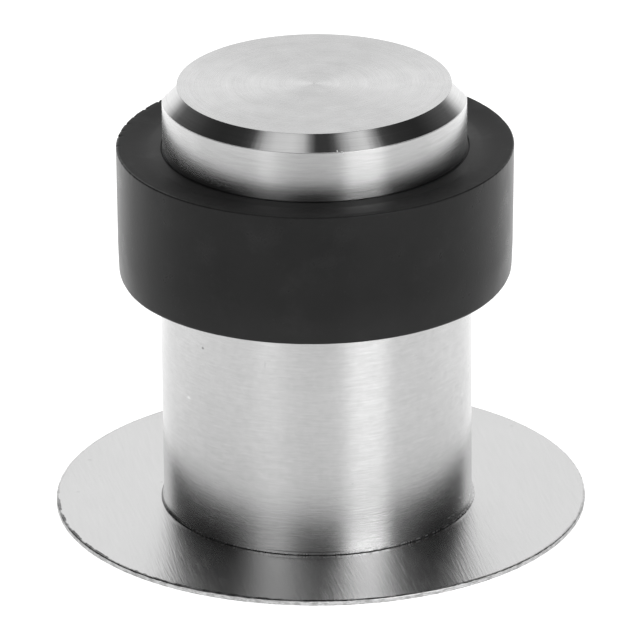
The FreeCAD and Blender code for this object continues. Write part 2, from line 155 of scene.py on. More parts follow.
def lathe(name, profile, segments, closed, moved=None, sharp=32.0, lean=None):
    """A turned solid, sizes in mm: closed=True revolves a loop that stays off the
    axis, and closed=False a line whose two ends lie on it.

    moved(r, z, angle, index) may return a new (r, z) for one point of the skin.
    lean(r, z) may return how far, in mm, that point stands off the stack's axis."""
    bm = bmesh.new()
    rings = []
    for j, (r, z) in enumerate(profile):
        if r < 1e-6:
            dx, dy = lean(r, z) if lean else (0.0, 0.0)
            rings.append([bm.verts.new((dx * MM, dy * MM, z * MM))])
            continue
        ring = []
        for i in range(segments):
            a = TAU * i / segments
            rr, zz = moved(r, z, a, j) if moved else (r, z)
            dx, dy = lean(r, z) if lean else (0.0, 0.0)
            ring.append(bm.verts.new(((rr * math.cos(a) + dx) * MM,
                                      (rr * math.sin(a) + dy) * MM, zz * MM)))
        rings.append(ring)
    pairs = list(zip(rings, rings[1:]))
    if closed:
        pairs.append((rings[-1], rings[0]))
    for low, high in pairs:
        for i in range(segments):
            k = (i + 1) % segments
            if len(low) == 1:
                bm.faces.new((low[0], high[k], high[i]))
            elif len(high) == 1:
                bm.faces.new((low[i], low[k], high[0]))
            else:
                bm.faces.new((low[i], low[k], high[k], high[i]))
    bmesh.ops.recalc_face_normals(bm, faces=bm.faces[:])
    if bm.calc_volume(signed=True) < 0:
        bmesh.ops.reverse_faces(bm, faces=bm.faces[:])
    return finished(name, bm, sharp)


def finished(name, bm, sharp=32.0):
    limit = math.radians(sharp)
    for face in bm.faces:
        face.smooth = True
    for edge in bm.edges:
        edge.smooth = len(edge.link_faces) != 2 or edge.calc_face_angle(0.0) < limit
    mesh = bpy.data.meshes.new(name)
    bm.to_mesh(mesh)
    bm.free()
    obj = bpy.data.objects.new(name, mesh)
    bpy.context.scene.collection.objects.link(obj)
    return obj


def off_axis(lean, bore_r):
    """The bore stays on the axis and the rest leans by the full amount 4 mm out."""
    def at(r, z):
        k = min(1.0, max(0.0, (r - bore_r) / 4.0))
        return lean[0] * k, lean[1] * k
    return at


def bumps(a, seed, scale):
    """Smooth noise round a circle, about -1 to 1, the same on every run."""
    return noise.noise(Vector((math.cos(a) * scale, math.sin(a) * scale, seed)))


def dips(a, places):
    """Sum of soft single marks: places holds (degrees, half width in degrees, depth)."""
    total = 0.0
    deg = math.degrees(a) % 360
    for where, width, depth in places:
        d = abs((deg - where + 180) % 360 - 180) / width
        if d < 1:
            total += depth * (1 - d * d) ** 2
    return total


# ---------------------------------------------------------------------------
# Node tools
# ---------------------------------------------------------------------------
class Nodes:
    def __init__(self, name):
        self.mat = bpy.data.materials.new(name)
        self.mat.use_nodes = True
        self.tree = self.mat.node_tree
        self.tree.nodes.clear()
        self.out = self.tree.nodes.new("ShaderNodeOutputMaterial")
        self.bsdf = self.tree.nodes.new("ShaderNodeBsdfPrincipled")
        self.link(self.bsdf.outputs[0], self.out.inputs[0])

    def link(self, a, b):
        self.tree.links.new(a, b)

    def put(self, socket, value):
        if hasattr(value, "is_output") or isinstance(value, bpy.types.NodeSocket):
            self.link(value, socket)
        else:
            socket.default_value = value

    def math(self, op, a, b=0.0, c=0.0, clamp=False):
        n = self.tree.nodes.new("ShaderNodeMath")
        n.operation = op
        n.use_clamp = clamp
        for i, v in enumerate((a, b, c)):
            self.put(n.inputs[i], v)
        return n.outputs[0]

    def vmath(self, op, a, b=(0, 0, 0)):
        n = self.tree.nodes.new("ShaderNodeVectorMath")
        n.operation = op
        self.put(n.inputs[0], a)
        if op == "SCALE":
            self.put(n.inputs[3], b)
        else:
            self.put(n.inputs[1], b)
        return n.outputs[1] if op in ("LENGTH", "DISTANCE", "DOT_PRODUCT") else n.outputs[0]

    def place(self):
        """Where the point is on the piece, in mm."""
        tc = self.tree.nodes.new("ShaderNodeTexCoord")
        return self.vmath("SCALE", tc.outputs["Object"], 1000.0)

    def split(self, v):
        n = self.tree.nodes.new("ShaderNodeSeparateXYZ")
        self.link(v, n.inputs[0])
        return n.outputs[0], n.outputs[1], n.outputs[2]

    def join(self, x, y, z):
        n = self.tree.nodes.new("ShaderNodeCombineXYZ")
        for i, v in enumerate((x, y, z)):
            self.put(n.inputs[i], v)
        return n.outputs[0]

    def noise(self, vector, scale=1.0, detail=2.0, rough=0.5, lac=2.0, distort=0.0):
        n = self.tree.nodes.new("ShaderNodeTexNoise")
        n.noise_dimensions = "3D"
        self.link(vector, n.inputs["Vector"])
        n.inputs["Scale"].default_value = scale
        n.inputs["Detail"].default_value = detail
        n.inputs["Roughness"].default_value = rough
        n.inputs["Lacunarity"].default_value = lac
        n.inputs["Distortion"].default_value = distort
        return n.outputs["Fac"]

    def cells(self, vector, scale=1.0, randomness=1.0):
        n = self.tree.nodes.new("ShaderNodeTexVoronoi")
        n.feature = "F1"
        self.link(vector, n.inputs["Vector"])
        n.inputs["Scale"].default_value = scale
        n.inputs["Randomness"].default_value = randomness
        return n.outputs["Distance"], n.outputs["Color"]

    def span(self, value, a, b, c=0.0, d=1.0, smooth=True):
        """Maps a..b to c..d and holds the ends."""
        n = self.tree.nodes.new("ShaderNodeMapRange")
        n.interpolation_type = "SMOOTHSTEP" if smooth else "LINEAR"
        n.clamp = True
        self.put(n.inputs["Value"], value)
        for key, v in (("From Min", a), ("From Max", b), ("To Min", c), ("To Max", d)):
            self.put(n.inputs[key], v)
        return n.outputs["Result"]

    def mix(self, fac, a, b):
        n = self.tree.nodes.new("ShaderNodeMix")
        n.data_type = "FLOAT"
        self.put(n.inputs["Factor"], fac)
        self.put(n.inputs["A"], a)
        self.put(n.inputs["B"], b)
        return n.outputs["Result"]

    def grey(self, value, tint=(1.0, 1.0, 1.0)):
        n = self.tree.nodes.new("ShaderNodeCombineColor")
        for i in range(3):
            v = value if tint[i] == 1.0 else self.math("MULTIPLY", value, tint[i])
            self.put(n.inputs[i], v)
        return n.outputs[0]

    def bump(self, height_mm, strength=1.0, normal=None):
        n = self.tree.nodes.new("ShaderNodeBump")
        n.inputs["Strength"].default_value = strength
        n.inputs["Distance"].default_value = MM
        self.link(height_mm, n.inputs["Height"])
        if normal is not None:
            self.link(normal, n.inputs["Normal"])
        return n.outputs["Normal"]

    def tangent(self, axis="Z"):
        n = self.tree.nodes.new("ShaderNodeTangent")
        n.direction_type = "RADIAL"
        n.axis = axis
        return n.outputs[0]

    def radius_and_angle(self, p):
        x, y, z = self.split(p)
        r = self.math("SQRT", self.math("ADD", self.math("MULTIPLY", x, x),
                                        self.math("MULTIPLY", y, y)))
        return x, y, z, r

    def mark(self, p, centre, along, half_length, half_width):
        """1 on one short scratch or pit at a given place on the piece, 0 off it."""
        axis = Vector(along).normalized()
        d = self.vmath("SUBTRACT", p, tuple(centre))
        run = self.vmath("DOT_PRODUCT", d, tuple(axis))
        full = self.vmath("LENGTH", d)
        side2 = self.math("SUBTRACT", self.math("MULTIPLY", full, full),
                          self.math("MULTIPLY", run, run))
        a = self.math("MULTIPLY", run, 1.0 / half_length)
        q = self.math("ADD", self.math("MULTIPLY", a, a),
                      self.math("MULTIPLY", side2, 1.0 / (half_width * half_width)))
        return self.span(q, 0.35, 1.0, 1.0, 0.0)

    def metal(self, colour, rough, aniso=0.0, turn=0.0, normal=None, tangent=None):
        b = self.bsdf
        b.inputs["Metallic"].default_value = 1.0
        self.put(b.inputs["Base Color"], colour)
        self.put(b.inputs["Roughness"], rough)
        b.inputs["Anisotropic"].default_value = aniso
        b.inputs["Anisotropic Rotation"].default_value = turn
        if normal is not None:
            self.link(normal, b.inputs["Normal"])
        if tangent is not None:
            self.link(tangent, b.inputs["Tangent"])
        return self.mat


# ---------------------------------------------------------------------------
# Materials
# ---------------------------------------------------------------------------
STEEL = 0.585


def satin_tube():
    """Stainless tube, brushed round its axis, with handling scratches."""
    n = Nodes("satin_tube_steel")
    p = n.place()
    x, y, z, r = n.radius_and_angle(p)
    # the belt wanders a little, so the brush lines aren't quite level
    sway = n.math("MULTIPLY", n.math("SUBTRACT", n.noise(p, 0.05, 1.0), 0.5), 1.2)
    zz = n.math("ADD", z, sway)
    lines = n.noise(n.join(n.math("MULTIPLY", x, 0.25), n.math("MULTIPLY", y, 0.25),
                           n.math("MULTIPLY", zz, 4.9)), 1.0, 4.0, 0.68, 2.2)
    fine = n.noise(n.join(n.math("MULTIPLY", x, 0.22), n.math("MULTIPLY", y, 0.22),
                          n.math("MULTIPLY", zz, 9.0)), 1.0, 2.0, 0.6)
    # short separate strokes
    stroke_at = n.join(n.math("MULTIPLY", x, 0.40), n.math("MULTIPLY", y, 0.40),
                       n.math("MULTIPLY", zz, 6.5))
    strokes = n.span(n.noise(stroke_at, 1.0, 1.0), 0.64, 0.80)
    # slanting handling scratches, sparse
    slant = n.math("ADD", z, n.math("MULTIPLY", x, 0.42))
    slant_at = n.join(n.math("MULTIPLY", x, 0.50), n.math("MULTIPLY", y, 0.30),
                      n.math("MULTIPLY", slant, 6.5))
    where = n.span(n.noise(p, 0.13, 1.0), 0.46, 0.60)
    slants = n.math("MULTIPLY", n.span(n.noise(slant_at, 1.0, 1.0), 0.68, 0.80), where)
    # a few single marks: a pit, an upright scratch, a nick, two faint arcs
    pits = n.mark(p, (-17.06, -15.97, 31.5), (0, 0, 1), 0.26, 0.24)
    for centre, size in (((-9.8, -21.1, 18.4), 0.10), ((16.9, -16.0, 26.3), 0.10),
                         ((5.1, -22.7, 12.2), 0.09), ((14.0, 18.6, 20.0), 0.16)):
        pits = n.math("MAXIMUM", pits, n.mark(p, centre, (0, 0, 1), size, size))
    upright = n.mark(p, (-7.78, -22.0, 31.3), (0.03, 0.0, 1.0), 0.75, 0.10)
    nick = n.mark(p, (-19.2, -13.26, 22.4), (0.4, -0.6, 0.1), 0.55, 0.30)
    arcs = n.math("MAXIMUM", n.mark(p, (12.5, -19.7, 22.4), (0.3, 0.2, -1.0), 0.9, 0.09),
                  n.mark(p, (11.6, -20.3, 20.6), (0.5, 0.3, -0.8), 1.2, 0.08))
    cloud = n.noise(p, 0.11, 3.0, 0.55)
    hair = n.noise(n.join(n.math("MULTIPLY", x, 0.42), n.math("MULTIPLY", y, 0.42),
                          n.math("MULTIPLY", zz, 3.6)), 1.0, 1.0, 0.5)
    mottle = n.noise(p, 0.95, 3.0, 0.6)
    value = n.math("ADD", n.math("MULTIPLY", n.math("SUBTRACT", lines, 0.5), 0.13), STEEL)
    value = n.math("ADD", value, n.math("MULTIPLY", n.math("SUBTRACT", hair, 0.5), 0.07))
    value = n.math("ADD", value, n.math("MULTIPLY", n.math("SUBTRACT", mottle, 0.5), 0.09))
    value = n.math("ADD", value, n.math("MULTIPLY", n.math("SUBTRACT", cloud, 0.5), 0.06))
    value = n.math("ADD", value, n.math("MULTIPLY", strokes, 0.030))
    value = n.math("ADD", value, n.math("MULTIPLY", slants, 0.060))
    value = n.math("ADD", value, n.math("MULTIPLY", nick, 0.10))
    value = n.math("ADD", value, n.math("MULTIPLY", arcs, 0.10))
    value = n.math("MULTIPLY", value, n.math("SUBTRACT", 1.0, n.math("MULTIPLY", pits, 0.50)))
    value = n.math("MULTIPLY", value, n.math("SUBTRACT", 1.0, n.math("MULTIPLY", upright, 0.16)))
    # the foot's edge: a dark line in front, a little above the edge, and bright torn bits along the cut
    front_dark_line = n.math("MULTIPLY", n.math("MULTIPLY", n.span(z, 1.26, 1.32), n.span(z, 1.40, 1.46, 1.0, 0.0)),
                    n.math("MULTIPLY", n.span(x, -9.0, -6.0), n.span(x, 2.0, 4.5, 1.0, 0.0)))
    bits = n.span(n.noise(n.join(n.math("MULTIPLY", x, 0.8), n.math("MULTIPLY", y, 0.8), 4.0),
                          1.0, 3.0, 0.7), 0.50, 0.58)
    low_edge = n.math("MULTIPLY", n.span(z, 0.90, 0.96), n.span(z, 1.08, 1.16, 1.0, 0.0))
    torn = n.math("MULTIPLY", n.math("MULTIPLY", low_edge, bits), n.span(x, 3.0, 9.0, 0.30, 1.0))
    # painted shade: the dressed-out foot is painted dark along its left edge, for the shadow in the gap between foot
    # and plate
    painted_left_shade = n.math("MULTIPLY", n.span(z, 1.10, 1.45, 1.0, 0.0), n.span(x, -21.9, -19.0, 1.0, 0.0))
    torn = n.math("MULTIPLY", torn, n.math("SUBTRACT", 1.0, painted_left_shade))
    # darker in a thin band in front, a little above the foot's edge
    value = n.math("MULTIPLY", value, n.math("SUBTRACT", 1.0, n.math("MULTIPLY", front_dark_line, 0.55)))
    value = n.mix(n.math("MULTIPLY", torn, 0.55), value, 0.64)
    # painted shade darkens the foot's left edge by up to 84%
    value = n.math("MULTIPLY", value, n.math("SUBTRACT", 1.0, n.math("MULTIPLY", painted_left_shade, 0.84)))
    rough = n.math("ADD", n.math("MULTIPLY", lines, 0.08), 0.172)
    rough = n.math("ADD", rough, n.math("MULTIPLY", slants, 0.08))
    rough = n.mix(torn, rough, 0.60)
    height = n.math("ADD", n.math("MULTIPLY", lines, 0.0095),
                    n.math("MULTIPLY", fine, 0.0045))
    # the wall tapers by a fraction of a degree
    height = n.math("SUBTRACT", height, n.math("MULTIPLY", z, 0.014))
    height = n.math("SUBTRACT", height, n.math("MULTIPLY", strokes, 0.0012))
    height = n.math("SUBTRACT", height, n.math("MULTIPLY", slants, 0.0015))
    height = n.math("SUBTRACT", height, n.math("MULTIPLY", pits, 0.012))
    return n.metal(n.grey(value), rough, 0.88, 0.25, n.bump(height), n.tangent())


def sheet_steel():
    """Thin ground sheet: strokes run nearly along Y, with a bright sheared rim."""
    n = Nodes("floor_plate_steel")
    p = n.place()
    x, y, z, r = n.radius_and_angle(p)
    # stroke direction: mostly along Y, leaning to +X, with a slight fan
    along = n.math("SUBTRACT", n.math("MULTIPLY", y, 0.983), n.math("MULTIPLY", x, 0.183))
    across = n.math("ADD", n.math("MULTIPLY", x, 0.983), n.math("MULTIPLY", y, 0.183))
    bend = n.math("MULTIPLY", n.math("SUBTRACT", n.noise(p, 0.04, 0.0), 0.5), 1.2)
    across = n.math("ADD", across, bend)
    strokes_at = n.join(n.math("MULTIPLY", across, 3.0), n.math("MULTIPLY", along, 0.15), 0.0)
    strokes = n.noise(strokes_at, 1.0, 2.0, 0.55, 2.1)
    bold_at = n.join(n.math("MULTIPLY", across, 3.8), n.math("MULTIPLY", along, 0.15), 3.0)
    bold = n.span(n.noise(bold_at, 1.0, 1.0), 0.50, 0.80)
    dist, _ = n.cells(p, 0.16)
    spots = n.span(dist, 0.03, 0.08, 1.0, 0.0)
    cloud = n.noise(p, 0.07, 3.0, 0.55)
    value = n.math("ADD", n.math("MULTIPLY", n.math("SUBTRACT", strokes, 0.5), 0.06), STEEL + 0.006)
    value = n.math("ADD", value, n.math("MULTIPLY", n.math("SUBTRACT", cloud, 0.5), 0.03))
    value = n.math("MULTIPLY", value, n.math("SUBTRACT", 1.0, n.math("MULTIPLY", spots, 0.10)))
    # the sheared rim is brighter, torn and uneven
    sheet = n.vmath("SUBTRACT", p, (PLATE_LEAN[0], PLATE_LEAN[1], 0.0))
    _, _, _, out = n.radius_and_angle(sheet)
    rim = n.span(out, PLATE_R - 0.26, PLATE_R - 0.12)
    torn = n.noise(n.join(n.math("MULTIPLY", x, 0.9), n.math("MULTIPLY", y, 0.9),
                          n.math("MULTIPLY", z, 2.6)), 1.0, 4.0, 0.65)
    value = n.mix(rim, value, n.span(torn, 0.36, 0.62, 0.42, 0.74))
    # painted shadow: a thin dark line along the top edge, the shade under the shear's burr, heavier here and there
    # and strongest in front and on the left
    dash = n.noise(n.join(n.math("MULTIPLY", x, 0.42), n.math("MULTIPLY", y, 0.42), 7.0), 1.0, 4.0, 0.7)
    reach = n.math("MULTIPLY", n.span(dash, 0.40, 0.62), n.span(x, -10.0, 6.0, 0.26, 0.06))
    painted_burr_shadow = n.math("MULTIPLY", n.span(n.math("ADD", out, reach), PLATE_R - 0.30, PLATE_R - 0.20),
                  n.span(z, PLATE_Z1 - 0.15, PLATE_Z1 - 0.08))
    painted_burr_shadow = n.math("MULTIPLY", painted_burr_shadow, n.span(dash, 0.36, 0.60, 0.50, 0.90))
    painted_burr_shadow = n.math("MULTIPLY", painted_burr_shadow, n.math("MULTIPLY", n.span(y, -8.0, 6.0, 1.0, 0.10),
                                           n.span(x, 10.0, 34.0, 1.0, 0.35)))
    # painted shadow of the burr darkens the rim's top edge
    value = n.math("MULTIPLY", value, n.math("SUBTRACT", 1.0, painted_burr_shadow))
    rough = n.math("ADD", n.math("MULTIPLY", strokes, 0.06), 0.185)
    rough = n.math("ADD", rough, n.math("MULTIPLY", bold, 0.05))
    rough = n.mix(rim, rough, n.math("ADD", n.math("MULTIPLY", torn, 0.25), 0.22))
    height = n.math("ADD", n.math("MULTIPLY", strokes, 0.021), n.math("MULTIPLY", bold, -0.003))
    height = n.math("ADD", height, n.math("MULTIPLY", n.math("MULTIPLY", rim, torn), 0.07))
    # rough across the strokes, so the tangent lies across them
    across_dir = n.join(0.983, 0.183, 0.0)
    return n.metal(n.grey(value), rough, 0.86, 0.0, n.bump(height), across_dir)


def turned_cap():
    """One turned piece: faced top with lathe rings, polished chamfer, brushed side."""
    n = Nodes("turned_cap_steel")
    p = n.vmath("SUBTRACT", n.place(), (CAP_LEAN[0], CAP_LEAN[1], 0.0))
    x, y, z, r = n.radius_and_angle(p)
    top_r = CAP_R - CAP_CHAMFER
    on_top = n.math("MULTIPLY", n.span(z, CAP_Z1 - 0.10, CAP_Z1 - 0.03),
                    n.span(r, top_r - 0.02, top_r + 0.06, 1.0, 0.0))
    on_cone = n.math("MULTIPLY",
                     n.span(r, top_r + 0.02, top_r + 0.08),
                     n.span(z, CAP_Z1 - CAP_CHAMFER + 0.02, CAP_Z1 - CAP_CHAMFER + 0.08))
    # lathe rings of the faced top: very fine, with a few broader ones
    wob = n.math("MULTIPLY", n.math("SUBTRACT", n.noise(p, 0.10, 1.0), 0.5), 0.5)
    rr = n.math("ADD", r, wob)
    rings = n.noise(n.join(n.math("MULTIPLY", rr, 2.4), n.math("MULTIPLY", x, 0.05),
                           n.math("MULTIPLY", y, 0.05)), 1.0, 4.0, 0.7, 2.2)
    wide = n.noise(n.join(n.math("MULTIPLY", r, 0.45), n.math("MULTIPLY", x, 0.05),
                          n.math("MULTIPLY", y, 0.05)), 1.0, 2.0, 0.5)
    # brushing round the side
    sway = n.math("MULTIPLY", n.math("SUBTRACT", n.noise(p, 0.08, 1.0), 0.5), 0.25)
    zz = n.math("ADD", z, sway)
    lines = n.noise(n.join(n.math("MULTIPLY", x, 0.13), n.math("MULTIPLY", y, 0.13),
                           n.math("MULTIPLY", zz, 4.2)), 1.0, 4.0, 0.66, 2.3)
    level = n.noise(n.join(n.math("MULTIPLY", x, 0.10), n.math("MULTIPLY", y, 0.10),
                           n.math("MULTIPLY", zz, 3.4)), 1.0, 2.0, 0.5)
    short_at = n.join(n.math("MULTIPLY", x, 0.42), n.math("MULTIPLY", y, 0.42),
                      n.math("MULTIPLY", zz, 6.5))
    short = n.span(n.noise(short_at, 1.0, 1.0), 0.64, 0.80)
    # polishing lines of the chamfer, level like the tool left them
    polish = n.noise(n.join(n.math("MULTIPLY", n.math("SUBTRACT", z, r), 2.6),
                            n.math("MULTIPLY", x, 0.06), n.math("MULTIPLY", y, 0.06)),
                     1.0, 4.0, 0.65)
    grain = n.mix(on_top, lines, rings)
    hair = n.noise(n.join(n.math("MULTIPLY", x, 0.34), n.math("MULTIPLY", y, 0.34),
                          n.math("MULTIPLY", zz, 3.1)), 1.0, 1.0, 0.5)
    value = n.math("ADD", n.math("MULTIPLY", n.math("SUBTRACT", grain, 0.5), 0.17), STEEL)
    value = n.math("ADD", value, n.math("MULTIPLY", n.math("SUBTRACT", hair, 0.5), 0.10))
    value = n.math("ADD", value, n.math("MULTIPLY", short, n.math("MULTIPLY",
                   n.math("SUBTRACT", 1.0, on_top), 0.03)))
    value = n.math("ADD", value, n.math("MULTIPLY", n.math("SUBTRACT", wide, 0.5),
                                        n.math("MULTIPLY", on_top, 0.05)))
    # painted shade: the side is painted darker higher up, 10% less above z 62.5 than below z 59.5, to hold down the
    # bright strips reflected there
    value = n.math("MULTIPLY", value, n.mix(on_top, n.span(z, 59.5, 62.5, 1.0, 0.90), 1.0))
    value = n.mix(on_cone, value, n.math("ADD", n.math("MULTIPLY",
                  n.math("SUBTRACT", polish, 0.5), 0.20), STEEL + 0.12))
    rough_side = n.math("ADD", n.math("MULTIPLY", lines, 0.07), 0.198)
    rough_top = n.math("ADD", n.math("MULTIPLY", rings, 0.08), 0.235)
    rough = n.mix(on_top, rough_side, rough_top)
    rough = n.mix(on_cone, rough, n.math("ADD", n.math("MULTIPLY", polish, 0.05), 0.055))
    h_side = n.math("SUBTRACT", n.math("MULTIPLY", level, 0.0046), n.math("MULTIPLY", short, 0.0003))
    # the side tapers by about a degree
    h_side = n.math("ADD", h_side, n.math("MULTIPLY", n.math("SUBTRACT", CAP_Z1, z), 0.018))
    # the faced top is crowned by a fraction of a degree
    h_top = n.math("ADD", n.math("MULTIPLY", rings, 0.0065),
                   n.math("MULTIPLY", n.math("SUBTRACT", top_r, r), 0.012))
    h_cone = n.math("MULTIPLY", polish, 0.0020)
    height = n.mix(on_cone, n.mix(on_top, h_side, h_top), h_cone)
    chip = n.mark(p, (3.95, -22.36, 65.12), (1.0, 0.17, 0.0), 0.28, 0.18)
    chip = n.math("MAXIMUM", chip, n.mark(p, (3.3, -22.3, 65.35), (0.2, -0.4, -0.9), 0.26, 0.10))
    value = n.math("ADD", value, n.math("MULTIPLY", chip, 0.35))
    rough = n.math("ADD", rough, n.math("MULTIPLY", chip, 0.45))
    return n.metal(n.grey(value), rough, 0.88, 0.25, n.bump(height), n.tangent())


def bare_steel(name, level, rough0, spread):
    """Plain turned steel of the hidden discs and the core, with tool rings."""
    n = Nodes(name)
    p = n.place()
    x, y, z, r = n.radius_and_angle(p)
    rings = n.noise(n.join(n.math("MULTIPLY", r, 4.0), n.math("MULTIPLY", z, 4.0),
                           n.math("MULTIPLY", x, 0.04)), 1.0, 4.0, 0.6)
    stain = n.noise(p, 0.16, 4.0, 0.6)
    value = n.math("ADD", n.math("MULTIPLY", n.math("SUBTRACT", rings, 0.5), spread), level)
    value = n.math("ADD", value, n.math("MULTIPLY", n.math("SUBTRACT", stain, 0.5), spread))
    rough = n.math("ADD", n.math("MULTIPLY", stain, 0.20), rough0)
    return n.metal(n.grey(value), rough, 0.6, 0.25,
                   n.bump(n.math("MULTIPLY", rings, 0.006)), n.tangent())


def zinc_steel():
    """Bright zinc plating of the fasteners, faintly mottled."""
    n = Nodes("zinc_plated_steel")
    p = n.place()
    spangle, tone = n.cells(p, 0.9)
    cloud = n.noise(p, 0.5, 4.0, 0.6)
    value = n.math("ADD", n.math("MULTIPLY", n.math("SUBTRACT", cloud, 0.5), 0.16), 0.60)
    value = n.math("ADD", value, n.math("MULTIPLY", spangle, 0.03))
    rough = n.math("ADD", n.math("MULTIPLY", cloud, 0.22), 0.20)
    return n.metal(n.grey(value, (1.0, 1.0, 1.02)), rough, 0.0, 0.0,
                   n.bump(n.math("MULTIPLY", cloud, 0.008)))


def rubber(name, level, dust, rough0, face_z=1000.0):
    """Black moulded rubber: matt, a little blotchy, rubbed where it is handled.

    The face above face_z is duller and paler than the sides."""
    n = Nodes(name)
    p = n.place()
    x, y, z, r = n.radius_and_angle(p)
    cloud = n.noise(p, 0.10, 4.0, 0.6)
    grain = n.noise(p, 3.2, 3.0, 0.6)
    # faint rubbed patches
    rub = n.noise(p, 0.17, 4.0, 0.62)
    rubbed = n.span(rub, 0.50, 0.72)
    specks_d, _ = n.cells(p, 0.55)
    specks = n.span(specks_d, 0.05, 0.11, 1.0, 0.0)
    value = n.math("ADD", n.math("MULTIPLY", n.math("SUBTRACT", cloud, 0.5), level * 0.7), level)
    value = n.math("ADD", value, n.math("MULTIPLY", rubbed, dust))
    value = n.math("ADD", value, n.math("MULTIPLY", specks, dust * 0.9))
    rough = n.math("ADD", n.math("MULTIPLY", cloud, 0.10), rough0)
    rough = n.math("SUBTRACT", rough, n.math("MULTIPLY", rubbed, 0.05))
    if face_z < 1000.0:
        face = n.math("MULTIPLY", n.span(z, face_z - 0.10, face_z), n.span(r, RING_R - 0.30, RING_R - 0.18, 1.0, 0.0))
        rough = n.math("ADD", rough, n.math("MULTIPLY", face, n.span(r, 23.5, 27.5, 0.16, 0.28)))
        value = n.math("ADD", value, n.math("MULTIPLY", face, 0.012))
        value = n.math("ADD", value, n.span(z, RING_Z0 + 1.0, RING_Z0 + 7.0, 0.005, 0.0))
    height = n.math("ADD", n.math("MULTIPLY", grain, 0.010), n.math("MULTIPLY", cloud, 0.05))
    height = n.math("SUBTRACT", height, n.math("MULTIPLY", specks, 0.008))
    b = n.bsdf
    n.link(n.grey(value), b.inputs["Base Color"])
    n.link(rough, b.inputs["Roughness"])
    b.inputs["IOR"].default_value = 1.5
    b.inputs["Specular IOR Level"].default_value = 0.155
    n.link(n.bump(height, 0.8), b.inputs["Normal"])
    return n.mat


M_TUBE = satin_tube()
M_PLATE = sheet_steel()
M_CAP = turned_cap()
M_DISC = bare_steel("turned_disc_steel", 0.40, 0.24, 0.10)
M_CORE = bare_steel("turned_core_steel", 0.50, 0.20, 0.08)
M_ZINC = zinc_steel()
M_RUBBER = rubber("buffer_rubber", 0.0165, 0.0045, 0.26, RING_Z1 - RING_DISH - 0.04)
M_SEAL = rubber("seal_rubber", 0.012, 0.004, 0.30)


def wear(obj, mat):
    obj.data.materials.clear()
    obj.data.materials.append(mat)


# ---------------------------------------------------------------------------
# Pieces
# ---------------------------------------------------------------------------
# --- floor plate: thin disc whose sheared rim carries a small burr ----------
RIM_NICKS = [(214.0, 0.5, 0.10), (233.5, 0.35, 0.13), (246.0, 0.45, 0.09), (258.3, 0.4, 0.12),
             (271.6, 0.5, 0.10), (284.8, 0.4, 0.10), (301.2, 0.45, 0.13), (318.4, 0.5, 0.09),
             (12.0, 0.5, 0.10), (64.0, 0.4, 0.08), (118.0, 0.5, 0.12), (155.0, 0.4, 0.09)]


def plate_skin(r, z, a, j):
    if r < PLATE_R - 0.6:
        return r, z
    high = (z - PLATE_Z0) / (PLATE_Z1 - PLATE_Z0)
    edge = max(0.0, (r - (PLATE_R - 0.6)) / 0.6)
    wave = 0.030 * bumps(a, 1.7, 26) + 0.022 * bumps(a, 8.3, 90) + 0.014 * bumps(a, 3.1, 210)
    r -= edge * (wave + dips(a, RIM_NICKS) * high - 0.05)
    if high > 0.75:
        # the burr stands a hair above the sheet, and is torn here and there
        lift = 0.020 + 0.022 * bumps(a, 5.9, 60) + 0.012 * bumps(a, 2.2, 170)
        z += max(0.0, lift) * edge
    return r, z


plate_profile = divided(rounded([
    (PLATE_HOLE_R, PLATE_Z0, 0.10, 3),
    (PLATE_R, PLATE_Z0, 0.10, 3),
    (PLATE_R, PLATE_Z1, 0.24, 6),
    (PLATE_HOLE_R, PLATE_Z1, 0.10, 3),
], closed=True), 2.5, closed=True)
plate = lathe("floor_plate_sheet", plate_profile, 1260, True, plate_skin,
              lean=off_axis(PLATE_LEAN, PLATE_HOLE_R + 0.5))
wear(plate, M_PLATE)
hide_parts("floor_plate")
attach(plate, "post")

# --- post tube: brushed, foot dressed out onto the plate, small burrs -------
FOOT_BURRS = [(197.0, 1.3, 0.10), (203.5, 0.8, 0.16), (221.0, 0.9, 0.08), (243.0, 0.7, 0.10),
              (262.0, 1.1, 0.07), (289.5, 0.8, 0.06), (293.0, 1.1, 0.07), (311.0, 0.7, 0.12),
              (318.5, 0.6, 0.14), (324.0, 0.7, 0.12), (341.0, 0.9, 0.10), (40.0, 1.0, 0.1),
              (95.0, 1.1, 0.12), (150.0, 1.0, 0.1)]
FLARE = TUBE_FOOT_R - TUBE_R


def tube_low(z):
    """0 under the ring and 1 lower down, where the tube is a hair wider."""
    t = min(1.0, max(0.0, (36.0 - z) / 10.0))
    return t * t * (3 - 2 * t)


def tube_off_axis(r, z):
    k = tube_low(z) if r > TUBE_R - 1.0 else 0.0
    return TUBE_LEAN[0] * k, TUBE_LEAN[1] * k


def foot_rise(up):
    """0 at the foot's lower edge and 1 where the flare ends."""
    return min(1.0, max(0.0, (up - 0.13) / (FLARE_H - 0.13)))


def tube_skin(r, z, a, j):
    up = z - TUBE_Z0
    if r > TUBE_R - 1.0:
        r += 0.07 * tube_low(z)
    if up < FLARE_H and r > TUBE_R - 1.0:
        # dressed out at the two sides, nearly straight in front and behind
        r -= (1.0 - math.cos(a) ** 8) * FLARE * (1.0 - foot_rise(up)) ** 3
        near = max(0.0, 1.0 - up / 0.45)
        ragged = 0.045 * bumps(a, 4.4, 24) + 0.022 * bumps(a, 9.7, 80) + 0.014 * bumps(a, 2.6, 190)
        r += near * near * (ragged - 0.02 + dips(a, FOOT_BURRS) * 0.7)
        if up < 0.4 and r > TUBE_R:
            z += 0.035 * bumps(a, 6.6, 60) + 0.025 * bumps(a, 1.9, 150)
    return r, z


